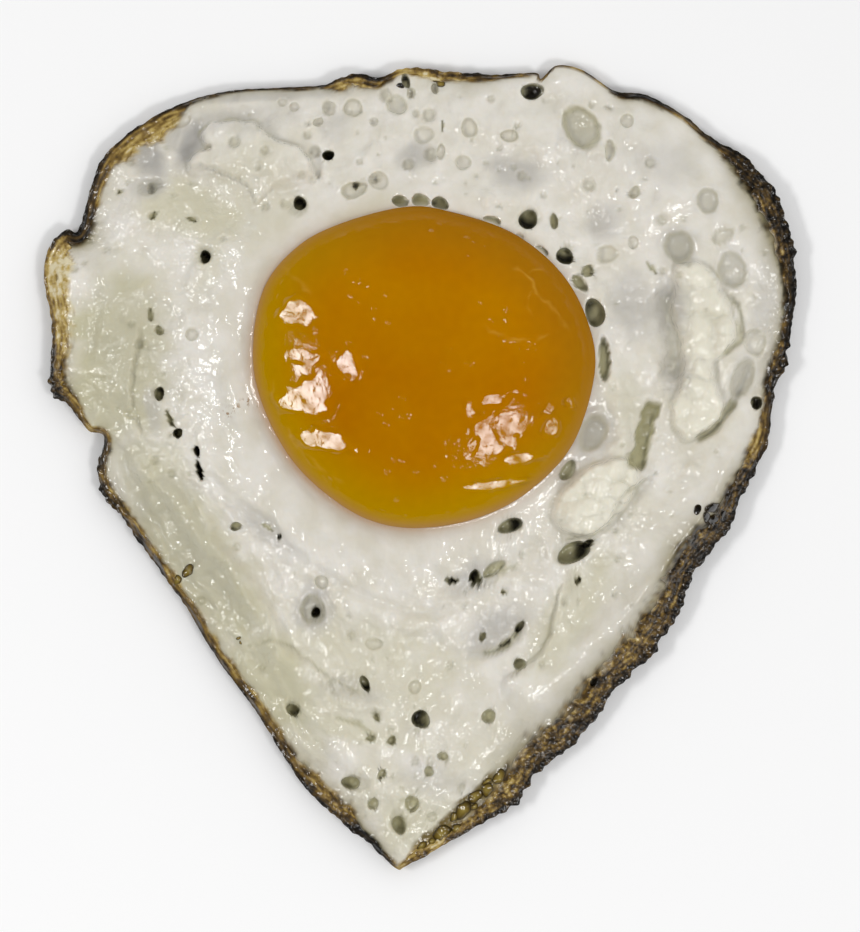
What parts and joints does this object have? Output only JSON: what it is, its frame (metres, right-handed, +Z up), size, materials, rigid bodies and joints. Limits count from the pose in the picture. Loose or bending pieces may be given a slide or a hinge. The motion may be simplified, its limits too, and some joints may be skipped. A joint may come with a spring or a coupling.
{
  "type": "fried egg",
  "caption": "Fried egg, sunny side up, with a pointed outline, a pitted white, a browned rim and a round soft yolk.",
  "frame": {"origin": "under the middle of the egg's box, on the surface it lies on", "axes": "+Z up, -Y towards the pointed end, +X to the right as seen from above with the point at the bottom"},
  "size_m": [0.1009, 0.108, 0.0156],
  "materials": {
    "white": "set egg white, moist and pitted",
    "yolk": "soft yolk under a thin wet skin",
    "crust": "browned and partly charred edge"
  },
  "bodies": {
    "root": {"egg_white": "white", "yolk": "yolk"}
  },
  "joints": []
}
